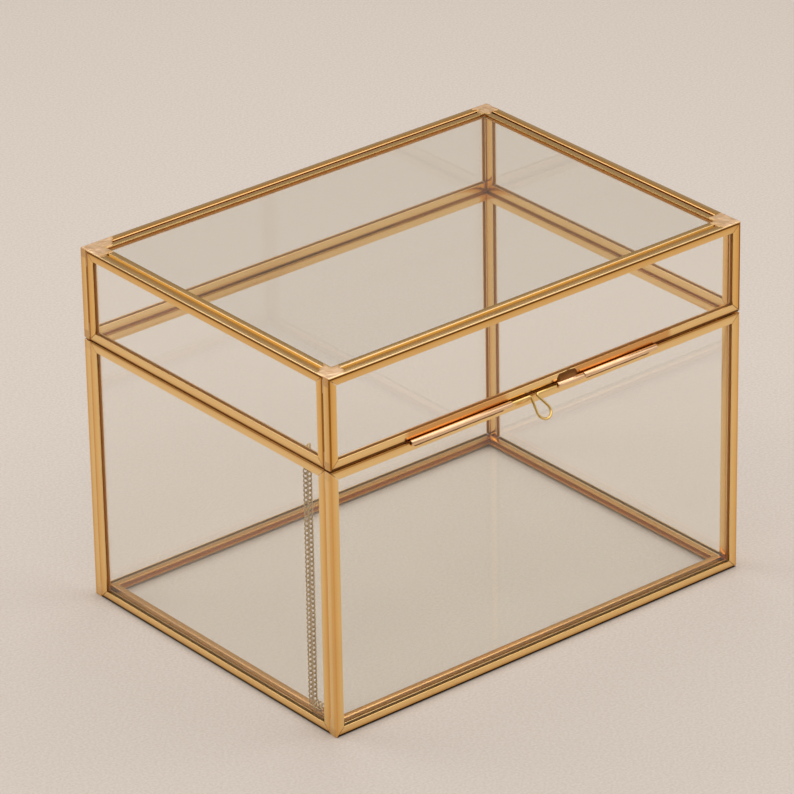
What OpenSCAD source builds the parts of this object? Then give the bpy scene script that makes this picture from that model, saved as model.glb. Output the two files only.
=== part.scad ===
// Glass casket box: clear panes in folded brass channel, a hinged lid,
// a sliding wire latch with a pull loop, and a stay chain inside.
// Millimetres. X runs left to right along the front, Y front to rear, Z up.
// The origin is on the table, at the middle of the whole object's outline.

/* [Casket] */
// Outside width, left to right
casket_w = 266; // [180:1:360]
// Outside depth, front to rear
casket_d = 196; // [150:1:280]
// Height of the base, table to rim
base_h = 146.2; // [100:0.1:220]
// Height of the lid, rim to top
lid_h = 49.7; // [30:0.1:90]
// Gap between the two rims with the lid down
seam_gap = 0.8; // [0.4:0.1:1.6]

/* [Brass channel] */
// Depth of the channel's flanges over the glass
channel_d = 4.8; // [3.5:0.1:7]
// Thickness of the folded brass
channel_t = 0.55; // [0.3:0.05:0.8]
// Outside radius of the folded edges
channel_r = 0.8; // [0.6:0.05:1.1]
// Gap left at each mitre
mitre_gap = 0.08; // [0.02:0.01:0.2]
// Gap between one panel's frame and the next
panel_fit = 0.05; // [0.02:0.01:0.2]
// Height of the bottom panel above the walls' lower edges
bottom_lift = 1.6; // [0:0.1:2]

/* [Glass] */
// Thickness of the panes
glass_t = 3; // [2:0.1:4]
// Gap between pane and flange, each side
glass_fit = 0.25; // [0.1:0.05:0.4]
// Gap between the pane's edge and the web
glass_edge = 0.3; // [0.1:0.1:1]

/* [Solder] */
// Length of a solder run in a corner seam
solder_run = 8; // [4:0.5:15]
// Side of the flooded patch on a lid corner
solder_patch = 9; // [6:0.5:14]
// Height of the flooded patch above the brass
solder_t = 0.3; // [0.2:0.05:0.6]

/* [Latch] */
// Outside radius of the latch tubes
latch_tube_r = 1.5; // [1.2:0.05:2]
// Radius of the latch wire
latch_wire_r = 0.7; // [0.5:0.05:0.9]
// Radial play of the wire in its tubes
latch_play = 0.1; // [0.05:0.01:0.1]
// Gap between a tube and the faces behind it
tube_fit = 0.15; // [0.1:0.05:0.3]
// Distance of the left tube's open end from the middle
latch_start = 84.5; // [75:0.5:86]
// Length of the left tube, on the base
latch_left_len = 64; // [50:0.5:70]
// Space between the left tube and the lid's knuckle
latch_bay = 30; // [28:0.5:40]
// Length of the lid's knuckle
latch_knuckle_len = 16.8; // [12:0.1:22]
// Length of the right tube, on the base
latch_right_len = 48; // [30:0.5:60]
// End gap between neighbouring tubes
knuckle_gap = 0.4; // [0.2:0.1:1]
// Distance of the pull loop from the left tube
loop_offset = 11.6; // [11:0.1:13]
// Radius of the round end of the pull loop
loop_r = 4.1; // [3.6:0.1:4.5]
// Drop from the wire to the middle of the round end
loop_drop = 9.2; // [8.5:0.1:12]
// Width between the loop's two shoulders, bend to bend
loop_neck = 5.9; // [5.5:0.1:6.5]
// Sideways lean of the loop's round end
loop_lean = 1.45; // [0:0.05:2]
// Radius of the bends at the loop's shoulders
bend_r = 1; // [0.8:0.05:1.3]
// Angle at which the loop stands out from the front
loop_tilt = 40; // [0:1:60]
// Length of wire inside the left tube, from the loop
latch_tail = 59; // [40:0.5:62]

/* [Hinge] */
// Outside radius of the hinge tubes
hinge_tube_r = 1.6; // [1.3:0.05:2]
// Radius of the hinge wire
hinge_pin_r = 0.75; // [0.5:0.05:0.9]
// Radial play of the wire in its tubes
hinge_play = 0.08; // [0.05:0.01:0.1]
// Length of each of the base's two knuckles
hinge_base_len = 46; // [20:0.5:60]
// Length of the lid's knuckle
hinge_lid_len = 47; // [20:0.5:60]
// How far the wire stands out at each end
hinge_pin_out = 0.8; // [0:0.1:2]

/* [Stay chain] */
// Distance of the chain's eyes behind the front face
chain_back = 25; // [20:1:40]
// Thickness of a link
link_t = 0.5; // [0.4:0.05:0.55]
// Step from one link to the next
link_pitch = 2.6; // [2.3:0.05:3.4]
// Inside width of a link
link_in_w = 1; // [0.95:0.05:1.1]
// Slack between two links
link_slack = 0.32; // [0.3:0.02:0.5]
// Radius of the wire of a chain eye
eye_wire_r = 0.3; // [0.25:0.05:0.35]
// Radius of an eye's ring, to the middle of its wire
eye_r = 0.95; // [0.9:0.05:1.1]
// Gap between the chain and the wall beside it
chain_wall_gap = 0.25; // [0.2:0.05:1]
// Distance between the two hanging strands
strand_pitch = 2.5; // [2.45:0.05:3.5]
// Least height of the strands' lower ends above the bottom frame
chain_rise = 1.4; // [1.4:0.1:6]
// Links that lie at the foot of each strand
tail_links = 3; // [2:1:4]

/* [Hidden] */
WALLS = ["front", "rear", "left", "right"];
PARTS = ["base", "lid"];
// The four edges of a panel in order round it, by the way the panel faces.
EDGES_ACROSS = ["bottom", "right", "top", "left"];
EDGES_SIDE = ["bottom", "rear", "top", "front"];
function edges(wall) = wall == "left" || wall == "right" ? EDGES_SIDE : EDGES_ACROSS;

WALL_CHANNELS = [for (p = PARTS, w = WALLS, e = edges(w)) str(p, "_", w, "_channel_", e)];
WALL_GLASS = [for (p = PARTS, w = WALLS) str(p, "_", w, "_glass")];

BRASS = "#D9AB64";
SOLDER = "#D9A67A";
GLASS = [0.80, 0.84, 0.80, 0.35];
WIRE = "#D6B070";
$fn = 48;

// Frame section
channel_w = glass_t + 2 * (glass_fit + channel_t);
pane_inset = channel_t + glass_edge;

// Reach of the latch and hinge past the front and rear faces
loop_reach = (loop_drop + loop_r) * sin(loop_tilt) + latch_wire_r;
reach_front = latch_tube_r + tube_fit + loop_reach;
reach_rear = 2 * hinge_tube_r + tube_fit;
casket_y = (reach_front - reach_rear) / 2;

// Faces of the casket
x_left = -casket_w / 2;
x_right = casket_w / 2;
y_front = casket_y - casket_d / 2;
y_rear = casket_y + casket_d / 2;
y_front_in = y_front + channel_w;
y_rear_in = y_rear - channel_w;
z_lid = base_h + seam_gap;
z_top = z_lid + lid_h;
z_seam = base_h + seam_gap / 2;

// Latch stations along X
latch_y = y_front - tube_fit - latch_tube_r;
latch_bore_r = latch_wire_r + latch_play;
x_tube_left = -latch_start;
x_bay = x_tube_left + latch_left_len;
x_knuckle = x_bay + latch_bay;
x_tube_right = x_knuckle + latch_knuckle_len + knuckle_gap;
x_loop_in = x_bay + loop_offset;
x_loop_out = x_loop_in + loop_neck;
x_pin_tip = x_knuckle - knuckle_gap;

// Hinge stations
hinge_y = y_rear + tube_fit + hinge_tube_r;
hinge_bore_r = hinge_pin_r + hinge_play;
x_hinge_base = hinge_lid_len / 2 + knuckle_gap;
hinge_half = x_hinge_base + hinge_base_len;

// Chain: the eyes' rings stand square to the left wall
link_in_len = link_pitch + link_slack;
chain_y = y_front + chain_back;
x_wall_in = x_left + channel_w;
x_base_strand = x_wall_in + chain_wall_gap + eye_r + eye_wire_r;
x_lid_strand = x_base_strand + strand_pitch;
z_base_eye = base_h - channel_d / 2;
z_lid_eye = z_lid + channel_d / 2;
z_base_pivot = z_base_eye - eye_r;
chain_floor = bottom_lift + channel_w + chain_rise;
z_lid_pivot = z_lid_eye - eye_r;
// A strand has an even number of links, so that the last one lies across the tail's first.
function even_links(drop) = 2 * floor(drop / link_pitch / 2);
base_links = even_links(z_base_pivot - chain_floor);
lid_links = even_links(z_lid_pivot - chain_floor);
// Distance from a strand's pivot to the middle of its last link's lower end
function strand_len(links) = links * link_pitch + (link_slack + link_t) / 2 - eye_wire_r;
z_base_foot = z_base_pivot - strand_len(base_links);
z_lid_foot = z_lid_pivot - strand_len(lid_links);

// ---------- panels ----------

// Section of the folded channel: web on y = 0, flanges towards +y.
module channel_section() {
    difference() {
        union() {
            translate([channel_r, 0]) square([channel_w - 2 * channel_r, channel_d]);
            translate([0, channel_r]) square([channel_w, channel_d - channel_r]);
            for (x = [channel_r, channel_w - channel_r])
                translate([x, channel_r]) circle(channel_r);
        }
        translate([channel_t, channel_t])
            square([channel_w - 2 * channel_t, channel_d]);
    }
}

// One mitred length of channel along +x, web on y = 0, thickness along +z.
module channel(length) {
    intersection() {
        translate([0, 0, channel_w]) rotate([0, 90, 0])
            linear_extrude(length) channel_section();
        linear_extrude(channel_w)
            polygon([
                [mitre_gap, 0], [length - mitre_gap, 0],
                [length - mitre_gap - channel_d, channel_d],
                [mitre_gap + channel_d, channel_d]
            ]);
    }
}

// Edge number i of a panel w by h, counted from its lower edge.
module panel_edge(w, h, i) {
    corner = [[0, 0], [w, 0], [w, h], [0, h]][i];
    translate([corner.x, corner.y, 0]) rotate([0, 0, 90 * i])
        channel(i % 2 == 0 ? w : h);
}

module panel_glass(w, h) {
    translate([pane_inset, pane_inset, channel_t + glass_fit])
        cube([w - 2 * pane_inset, h - 2 * pane_inset, glass_t]);
}

// Size of a wall's panel: the front and rear run full width, the sides fit between them.
side_len = casket_d - 2 * (channel_w + panel_fit);
function wall_w(wall) = wall == "left" || wall == "right" ? side_len : casket_w;
function wall_h(part) = part == "base" ? base_h : lid_h;
function wall_z(part) = part == "base" ? 0 : z_lid;

// Stands a panel, drawn flat, in its wall's place.
module stand_wall(part, wall) {
    z = wall_z(part);
    if (wall == "front") translate([x_left, y_front_in, z]) rotate([90, 0, 0]) children();
    if (wall == "rear") translate([x_left, y_rear, z]) rotate([90, 0, 0]) children();
    if (wall == "left")
        translate([x_left, y_front_in + panel_fit, z]) rotate([90, 0, 90]) children();
    if (wall == "right")
        translate([x_right - channel_w, y_front_in + panel_fit, z]) rotate([90, 0, 90]) children();
}

module wall_channel(part, wall, i) {
    color(BRASS) stand_wall(part, wall) panel_edge(wall_w(wall), wall_h(part), i);
}

module wall_glass(part, wall) {
    color(GLASS) stand_wall(part, wall) panel_glass(wall_w(wall), wall_h(part));
}

// The bottom and top panels lie inside the four walls, the top one flush with their edges.
flat_w = casket_w - 2 * (channel_w + panel_fit);
flat_d = casket_d - 2 * (channel_w + panel_fit);

module flat_place(z) {
    translate([-flat_w / 2, casket_y - flat_d / 2, z]) children();
}

module flat_channels(z) {
    color(BRASS) flat_place(z) for (i = [0:3]) panel_edge(flat_w, flat_d, i);
}

module flat_glass(z) {
    color(GLASS) flat_place(z) panel_glass(flat_w, flat_d);
}

// ---------- solder ----------

// Fillet in the groove where a side panel's edge meets the front or rear panel's web.
module seam_fillet() {
    linear_extrude(solder_run) difference() {
        translate([0, -channel_r / 2]) square([channel_r, channel_r]);
        for (y = [-channel_r - panel_fit / 2, channel_r + panel_fit / 2])
            translate([channel_r, y]) circle(channel_r);
    }
}

// Fillets at both ends of the four upright seams, between heights z0 and z1.
module seam_fillets(z0, z1) {
    for (z = [z0 + channel_r, z1 - channel_r - solder_run])
        for (y = [y_front_in + panel_fit / 2, y_rear_in - panel_fit / 2]) {
            translate([x_left, y, z]) seam_fillet();
            translate([x_right, y, z]) mirror([1, 0, 0]) seam_fillet();
        }
}

// Flat flood of solder over a lid corner, clear of the folded edges.
module corner_patch() {
    inner_r = solder_patch / 3;
    translate([channel_r, channel_r, 0]) linear_extrude(solder_t) union() {
        square([solder_patch, solder_patch - inner_r]);
        square([solder_patch - inner_r, solder_patch]);
        translate([solder_patch - inner_r, solder_patch - inner_r]) circle(inner_r);
    }
}

module base_corner_solder() {
    color(SOLDER) seam_fillets(0, base_h);
}

module lid_corner_solder() {
    color(SOLDER) {
        seam_fillets(z_lid, z_top);
        for (sx = [0, 1], sy = [0, 1])
            translate([sx == 0 ? x_left : x_right, sy == 0 ? y_front : y_rear, z_top])
                mirror([sx, 0, 0]) mirror([0, sy, 0]) corner_patch();
    }
}

// ---------- tubes ----------

// A tube along +x with a web of solder to the face beside it.
// web lists the web's section: y and z from the tube's axis. The bore goes through both.
module soldered_tube(length, tube_r, bore_r, web, web_len) {
    difference() {
        union() {
            rotate([0, 90, 0]) cylinder(h = length, r = tube_r);
            translate([(length - web_len) / 2, 0, 0])
                rotate([90, 0, 90]) linear_extrude(web_len) polygon(web);
        }
        translate([-1, 0, 0]) rotate([0, 90, 0]) cylinder(h = length + 2, r = bore_r);
    }
}

// Web from a tube to a rim's face: side is -1 for the front and 1 for the rear,
// up is 1 for the lid and -1 for the base, reach is how far along the face it runs.
function rim_web(tube_r, side, up, reach) = [
    [0, 0],
    [-side * (tube_r + tube_fit), up * (seam_gap / 2 + channel_r)],
    [-side * (tube_r + tube_fit), up * reach]
];
base_web_reach = seam_gap / 2 + channel_r + 1.4;
latch_web_reach = seam_gap / 2 + channel_d - 0.2;
latch_web_len = latch_knuckle_len - 4;

module latch_tube(x, length) {
    color(WIRE) translate([x, latch_y, z_seam])
        soldered_tube(length, latch_tube_r, latch_bore_r,
            rim_web(latch_tube_r, -1, -1, base_web_reach), length - 2);
}

module latch_tube_left() { latch_tube(x_tube_left, latch_left_len); }
module latch_tube_right() { latch_tube(x_tube_right, latch_right_len); }

module latch_knuckle() {
    color(WIRE) translate([x_knuckle, latch_y, z_seam])
        soldered_tube(latch_knuckle_len, latch_tube_r, latch_bore_r,
            rim_web(latch_tube_r, -1, 1, latch_web_reach), latch_web_len);
}

module hinge_knuckle(x, length, up) {
    color(WIRE) translate([x, hinge_y, z_seam])
        soldered_tube(length, hinge_tube_r, hinge_bore_r,
            rim_web(hinge_tube_r, 1, up, base_web_reach), length - 2);
}

module hinge_base_knuckles() {
    hinge_knuckle(-hinge_half, hinge_base_len, -1);
    hinge_knuckle(x_hinge_base, hinge_base_len, -1);
}

module hinge_lid_knuckle() { hinge_knuckle(-hinge_lid_len / 2, hinge_lid_len, 1); }

module hinge_pin() {
    half = hinge_half + hinge_pin_out;
    color(WIRE) translate([-half, hinge_y, z_seam]) rotate([0, 90, 0])
        cylinder(h = 2 * half, r = hinge_pin_r);
}

// ---------- latch wire ----------

// The loop is drawn flat: x along the wire, y up. It hangs below y = 0.
bend_in = [0, -bend_r];
bend_out = [loop_neck, -bend_r];
loop_mid = [loop_neck / 2 + loop_lean, -loop_drop];
// Heading of the leg that crosses from one bend to the round end, and of the leg back.
to_mid = loop_mid - bend_in;
from_mid = bend_out - loop_mid;
leg_cross = loop_r + bend_r;
leg_in_dir = atan2(to_mid.y, to_mid.x) - asin(leg_cross / norm(to_mid));
leg_out_dir = atan2(from_mid.y, from_mid.x) + asin(leg_cross / norm(from_mid));
leg_in_len = sqrt(norm(to_mid) ^ 2 - leg_cross ^ 2);
leg_out_len = sqrt(norm(from_mid) ^ 2 - leg_cross ^ 2);

// Left-hand side of a heading
function left_of(dir) = [-sin(dir), cos(dir)];

module wire_bar(from, dir, length) {
    translate([from.x, from.y, 0]) rotate([0, 90, dir]) cylinder(h = length, r = latch_wire_r);
}

module wire_bend(mid, radius, start, turn) {
    translate([mid.x, mid.y, 0]) rotate([0, 0, start])
        rotate_extrude(angle = turn) translate([radius, 0]) circle(latch_wire_r);
}

module latch_pin() {
    color(WIRE) translate([x_loop_in, latch_y, z_seam]) rotate([90 - loop_tilt, 0, 0]) {
        wire_bar([-latch_tail, 0], 0, latch_tail);
        wire_bend(bend_in, bend_r, 90 + leg_in_dir, -leg_in_dir);
        wire_bar(bend_in + bend_r * left_of(leg_in_dir), leg_in_dir, leg_in_len);
        wire_bend(loop_mid, loop_r, leg_in_dir - 90, leg_out_dir - leg_in_dir);
        wire_bar(loop_mid - loop_r * left_of(leg_out_dir), leg_out_dir, leg_out_len);
        wire_bend(bend_out, bend_r, 90, leg_out_dir);
        wire_bar([loop_neck, 0], 0, x_pin_tip - x_loop_out);
    }
}

// ---------- stay chain ----------

// Oval outline w wide and len long, along y.
module oval(w, len) {
    square([w, len - w], center = true);
    for (y = [-1, 1]) translate([0, y * (len - w) / 2]) circle(w / 2, $fn = 24);
}

// A flat oval link in the x-y plane with its length along y.
module link() {
    linear_extrude(link_t, center = true) difference() {
        oval(link_in_w + 2 * link_t, link_in_len + 2 * link_t);
        oval(link_in_w, link_in_len);
    }
}

// A run of links that hangs from the bar at the origin, which is bar_r thick each way.
// Each link is set square to the last, and the first stands in the plane that faces x.
module chain_run(links, bar_r) {
    for (i = [0:links - 1])
        translate([0, 0, bar_r + (link_slack - link_in_len) / 2 - i * link_pitch])
            rotate([90, 0, i % 2 == 0 ? 90 : 0]) link();
}

// Ring with a stem soldered to the wall's inner flange.
module eye(x, z) {
    stem = x - eye_r - x_wall_in;
    translate([x, chain_y, z]) {
        rotate([90, 0, 0]) rotate_extrude($fn = 24) translate([eye_r, 0]) circle(eye_wire_r);
        translate([-eye_r - stem, 0, 0]) rotate([0, 90, 0])
            cylinder(h = stem, r = eye_wire_r, $fn = 24);
    }
}

module chain_base_eye() { color(WIRE) eye(x_base_strand, z_base_eye); }
module chain_lid_eye() { color(WIRE) eye(x_lid_strand, z_lid_eye); }

module chain_base_strand() {
    color(WIRE) translate([x_base_strand, chain_y, z_base_pivot]) chain_run(base_links, eye_wire_r);
}

module chain_lid_strand() {
    color(WIRE) translate([x_lid_strand, chain_y, z_lid_pivot]) chain_run(lid_links, eye_wire_r);
}

// The last few links of each strand lie on the bottom frame, towards the front.
module chain_tail(x, z) {
    color(WIRE) translate([x, chain_y, z]) rotate([-90, 0, 0]) chain_run(tail_links, link_t / 2);
}

module chain_base_tail() { chain_tail(x_base_strand, z_base_foot); }
module chain_lid_tail() { chain_tail(x_lid_strand, z_lid_foot); }

// ---------- assembly ----------

for (part = PARTS, wall = WALLS) {
    for (i = [0:3])
        wall_channel(part, wall, i);
    wall_glass(part, wall);
}
flat_channels(bottom_lift);  // base_bottom_channels
flat_glass(bottom_lift);  // base_bottom_glass
base_corner_solder();
flat_channels(z_top - channel_w);  // lid_top_channels
flat_glass(z_top - channel_w);  // lid_top_glass
lid_corner_solder();
latch_tube_left();
latch_tube_right();
latch_knuckle();
latch_pin();
hinge_base_knuckles();
hinge_lid_knuckle();
hinge_pin();
chain_base_eye();
chain_lid_eye();
chain_base_strand();
chain_base_tail();
chain_lid_strand();
chain_lid_tail();
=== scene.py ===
"""Looks of a glass casket box: clear panes held in folded brass channel, soldered at the corners.

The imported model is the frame. Every piece is modelled in millimetres, in the model's own axes
(X along the front, Y to the rear, Z up), and turned to metres when it is laid in its place.
"""

from __future__ import annotations

import logging
import math
from contextlib import contextmanager
from dataclasses import dataclass, field
from enum import Enum
from functools import partial
from typing import Callable, Iterator, Sequence

import bmesh
import bpy
from mathutils import Matrix, Vector, noise

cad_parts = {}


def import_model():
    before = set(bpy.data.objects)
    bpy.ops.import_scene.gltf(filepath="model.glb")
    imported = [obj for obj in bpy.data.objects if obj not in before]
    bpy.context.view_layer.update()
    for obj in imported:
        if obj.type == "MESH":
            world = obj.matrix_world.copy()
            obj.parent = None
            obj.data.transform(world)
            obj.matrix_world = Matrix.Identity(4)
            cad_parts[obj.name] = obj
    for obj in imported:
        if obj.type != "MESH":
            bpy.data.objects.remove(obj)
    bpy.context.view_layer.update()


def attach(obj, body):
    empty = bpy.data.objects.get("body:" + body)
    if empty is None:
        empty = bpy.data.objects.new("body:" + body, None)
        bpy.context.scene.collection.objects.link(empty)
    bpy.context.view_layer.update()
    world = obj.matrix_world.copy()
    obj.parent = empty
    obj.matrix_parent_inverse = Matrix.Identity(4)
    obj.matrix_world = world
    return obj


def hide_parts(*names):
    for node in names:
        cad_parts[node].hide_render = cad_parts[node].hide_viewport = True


Piece = bpy.types.Object
Node = bpy.types.Node
Adder = Callable[..., Node]  # add_node, tied to one material
Stops = Sequence[tuple[float, str]]  # millimetres, rising, and the colour there

log = logging.getLogger("casket")
MM = 0.001


# ---------------------------------------------------------------- colour and nodes


def srgb(code: str) -> tuple[float, float, float, float]:
    """Turn an sRGB hex colour into the linear colour that Blender wants.

    Args:
        code: six hex digits after a hash.

    Returns:
        Red, green, blue and an alpha of one.
    """
    parts = [int(code[i : i + 2], 16) / 255 for i in (1, 3, 5)]
    linear = [c / 12.92 if c <= 0.04045 else ((c + 0.055) / 1.055) ** 2.4 for c in parts]
    return (linear[0], linear[1], linear[2], 1.0)


def add_node(
    tree: bpy.types.NodeTree, kind: str, inputs: dict | None = None, **settings: object
) -> Node:
    """Add one node, with its settings and what feeds it.

    Args:
        tree: the material's or the world's node tree.
        kind: Blender's name for the node, after ShaderNode.
        inputs: input name or number to a value, to the output socket that feeds it, or to a node
            whose first output in use feeds it.
        settings: the node's own properties.

    Returns:
        The new node.
    """
    node = tree.nodes.new(f"ShaderNode{kind}")
    for name, value in settings.items():
        setattr(node, name, value)
    for name, value in (inputs or {}).items():
        if isinstance(value, Node):
            value = next(socket for socket in value.outputs if socket.enabled)
        if isinstance(value, bpy.types.NodeSocket):
            tree.links.new(value, node.inputs[name])
        else:
            node.inputs[name].default_value = value
    return node


def graded(add: Adder, length: Node | bpy.types.NodeSocket, stops: Stops) -> Node:
    """Colour that changes with a length across a piece.

    Args:
        add: adds a node to the material.
        length: gives the length, in metres.
        stops: millimetres and the colour there.

    Returns:
        The node that gives the colour.
    """
    span = stops[-1][0]
    share = add("Math", {0: length, 1: 1 / (span * MM)}, operation="MULTIPLY")
    node = add("ValToRGB", {"Fac": share})
    band = node.color_ramp.elements
    band.remove(band[1])
    band[0].position = stops[0][0] / span
    band[0].color = srgb(stops[0][1])
    for reach, code in stops[1:]:
        band.new(reach / span).color = srgb(code)
    return node


def make_material(name: str, shader: Callable[[Adder], Node]) -> bpy.types.Material:
    """Make a material.

    Args:
        name: the finish, in plain words.
        shader: builds the shader, given what adds a node to the material.

    Returns:
        The material.
    """
    material = bpy.data.materials.new(name)
    material.use_nodes = True
    material.node_tree.nodes.clear()
    add = partial(add_node, material.node_tree)
    add("OutputMaterial", {"Surface": shader(add)})
    return material


# ---------------------------------------------------------------- finishes


@dataclass(frozen=True)
class SheetBrass:
    """Rolled brass strip, folded to a channel and lacquered: golden and satin, with fine lengthwise
    roller lines, faint cross marks, a duller band on the web where solder ran over it by a joint,
    and the strip's dull brown inner side, which shows through the glass. Its colour across the
    flange and the web also holds painted light: a dark line painted beside a fold, for the fold's
    dark reflection, and in some strips painted shade and painted highlights."""

    name: str
    # colour across the flange and the web, by millimetres from the fold; the stops also hold painted
    # shade and painted highlights
    flange: Stops
    web: Stops
    deep: str = "#F6F2EC"
    heated: str = "#C99C68"
    inner: str = "#D88E2C"
    roughness: float = 0.16
    line_mm: float = 0.7  # real roller lines are finer; drawn at one render pixel so that they show
    line_long_mm: float = 30.0
    tick_mm: float = 1.4
    tick_long_mm: float = 10.0
    tick_share: float = 0.7  # how deep the cross marks are beside the lines
    relief_mm: float = 0.12
    satin: tuple[float, float] = (-0.04, 0.10)  # how the roller lines change the roughness
    inner_rough: float = 0.4
    inner_film: float = 0.75  # how far the inner side's brown film hides the metal
    patch_mm: float = 30.0
    heat: float = 0.5
    heat_mm: float = 4.6  # how far the heat tint reaches from a joint
    heat_wander_mm: float = 1.8
    heat_wave_mm: float = 6.0
    heat_fade_mm: float = 0.3
    painted_tube_reflection: Stops = ()  # painted reflection of the latch tubes: a browner band, over the distance from the nearer end, above where the tubes are soldered

    def shader(self, add: Adder) -> Node:
        """Build the shader, on the piece's UV maps Run, Ends, Edge and Sides.

        Args:
            add: adds a node to the material.

        Returns:
            The shader.
        """
        run, ends, edges, sides = (
            add("UVMap", uv_map=name) for name in ("Run", "Ends", "Edge", "Sides")
        )
        edge, side, end = (
            add("SeparateXYZ", {"Vector": chart}).outputs for chart in (edges, sides, ends)
        )
        inward, webward = side["X"], side["Y"]
        near = add("Math", {0: end["X"], 1: end["Y"]}, operation="MINIMUM")
        place = add("TexCoord").outputs["Object"]
        line = self._streak(add, run, self.line_long_mm, self.line_mm)
        tick = self._streak(add, run, self.tick_mm, self.tick_long_mm)
        patch = add("TexNoise", {"Vector": place, "Scale": 1 / (self.patch_mm * MM), "Detail": 2.0})
        flange, web = graded(add, edge["X"], self.flange), graded(add, edge["Y"], self.web)
        body = add("Mix", {"Factor": webward, 6: flange, 7: web}, data_type="RGBA")
        zone = self._heat_zone(add, near, place)
        tint = add("Math", {0: zone, 1: webward}, operation="MULTIPLY")
        layers = [(patch, srgb(self.deep), "MULTIPLY")]
        # the latch tubes' painted reflection, multiplied into the colour
        if self.painted_tube_reflection:
            layers.append((1.0, graded(add, near, self.painted_tube_reflection), "MULTIPLY"))
        layers += [(tint, srgb(self.heated), "MIX"), (inward, srgb(self.inner), "MIX")]
        for share, colour, blend in layers:
            body = add(
                "Mix", {"Factor": share, 6: body, 7: colour}, data_type="RGBA", blend_type=blend
            )
        satin = add(
            "MapRange",
            {"Value": line, "From Min": 0.3, "From Max": 0.7,
             "To Min": self.roughness + self.satin[0], "To Max": self.roughness + self.satin[1]},
        )
        rough, metal, rise = (
            add("Math", {0: value, 1: factor, 2: plus}, operation="MULTIPLY_ADD")
            for value, factor, plus in (
                (inward, self.inner_rough, satin), (inward, -self.inner_film, 1.0),
                (tick, self.tick_share, line),
            )
        )
        bump = add("Bump", {"Height": rise, "Strength": 0.12, "Distance": self.relief_mm * MM})
        return add(
            "BsdfPrincipled",
            {"Base Color": body, "Metallic": metal, "Roughness": rough, "Normal": bump},
        )

    @staticmethod
    def _streak(add: Adder, run: Node, along: float, across: float) -> Node:
        """Noise drawn out along the channel or across it.

        Args:
            add: adds a node to the material.
            run: the UV map in metres, along and across.
            along: length of its marks, in millimetres.
            across: width of its marks, in millimetres.

        Returns:
            The noise, from 0 to 1.
        """
        marks = (1 / (along * MM), 1 / (across * MM), 1.0)
        scaled = add("VectorMath", {0: run, 1: marks}, operation="MULTIPLY")
        return add("TexNoise", {"Vector": scaled, "Scale": 1.0, "Detail": 3.0})

    def _heat_zone(self, add: Adder, near: Node, place: bpy.types.NodeSocket) -> Node:
        """Strength of the heat tint, which ends in an uneven line a few millimetres from a joint.

        Args:
            add: adds a node to the material.
            near: gives the distance from the nearer end, in metres.
            place: the object's coordinates.

        Returns:
            What gives 0 away from the joints, rising to the finish's heat at them.
        """
        size = self.heat_wave_mm * MM
        wander = add("TexNoise", {"Vector": place, "Scale": 1 / size, "Detail": 2.0})
        edge = add(
            "Math", {0: wander, 1: -self.heat_wander_mm * MM, 2: near}, operation="MULTIPLY_ADD"
        )
        reach = (self.heat_mm - self.heat_wander_mm / 2) * MM
        fade = self.heat_fade_mm * MM
        return add(
            "MapRange",
            {"Value": edge, "From Min": reach - fade, "From Max": reach + fade,
             "To Min": self.heat, "To Max": 0.0},
        )


@dataclass(frozen=True)
class DrawnBrass:
    """Drawn brass tube, wire or chain: bright, smooth along its length, with soft colour patches."""

    name: str
    colour: str
    deep: str
    roughness: float = 0.14
    patch_mm: float = 7.0
    spread: float = 0.08
    dent_mm: float = 0.02

    def shader(self, add: Adder) -> Node:
        """Build the shader, on the object's coordinates.

        Args:
            add: adds a node to the material.

        Returns:
            The shader.
        """
        place = add("TexCoord").outputs["Object"]
        patch = add("TexNoise", {"Vector": place, "Scale": 1 / (self.patch_mm * MM), "Detail": 3.0})
        body = add(
            "Mix", {"Factor": patch, 6: srgb(self.colour), 7: srgb(self.deep)}, data_type="RGBA"
        )
        rough = add(
            "MapRange",
            {"Value": patch, "From Min": 0.3, "From Max": 0.7,
             "To Min": self.roughness, "To Max": self.roughness + self.spread},
        )
        bump = add("Bump", {"Height": patch, "Strength": 0.4, "Distance": self.dent_mm * MM})
        return add(
            "BsdfPrincipled",
            {"Base Color": body, "Metallic": 1.0, "Roughness": rough, "Normal": bump},
        )


@dataclass(frozen=True)
class PlatedSolder:
    """Soft solder, wiped smooth and brass plated: pinkish gold, wavy, with small scorched specks."""

    name: str = "plated_solder"
    colour: str = "#FCDFBE"
    deep: str = "#E2B688"
    speck: str = "#8A4B28"
    roughness: float = 0.37
    thin: str = "#DDB47C"
    wave_mm: float = 3.6
    wave_high_mm: float = 0.5
    grain_mm: float = 1.1
    spread: float = 0.04
    speck_share: float = 0.6

    def shader(self, add: Adder) -> Node:
        """Build the shader, on the object's coordinates and the UV map Thin of the floods.

        Args:
            add: adds a node to the material.

        Returns:
            The shader.
        """
        place = add("TexCoord").outputs["Object"]
        faded = add("SeparateXYZ", {"Vector": add("UVMap", uv_map="Thin")}).outputs["X"]
        wave, grain = (
            add("TexNoise", {"Vector": place, "Scale": 1 / (size * MM), "Detail": 2.0})
            for size in (self.wave_mm, self.grain_mm)
        )
        body = add(
            "Mix", {"Factor": wave, 6: srgb(self.colour), 7: srgb(self.deep)}, data_type="RGBA"
        )
        specks = add(
            "MapRange",
            {"Value": grain, "From Min": 0.72, "From Max": 0.78,
             "To Min": 0.0, "To Max": self.speck_share},
        )
        for share, colour in ((specks, self.speck), (faded, self.thin)):
            body = add("Mix", {"Factor": share, 6: body, 7: srgb(colour)}, data_type="RGBA")
        rough = add(
            "MapRange",
            {"Value": grain, "From Min": 0.3, "From Max": 0.7,
             "To Min": self.roughness, "To Max": self.roughness + self.spread},
        )
        bump = add("Bump", {"Height": wave, "Strength": 0.6, "Distance": self.wave_high_mm * MM})
        return add(
            "BsdfPrincipled",
            {"Base Color": body, "Metallic": 1.0, "Roughness": rough, "Normal": bump},
        )


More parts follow.
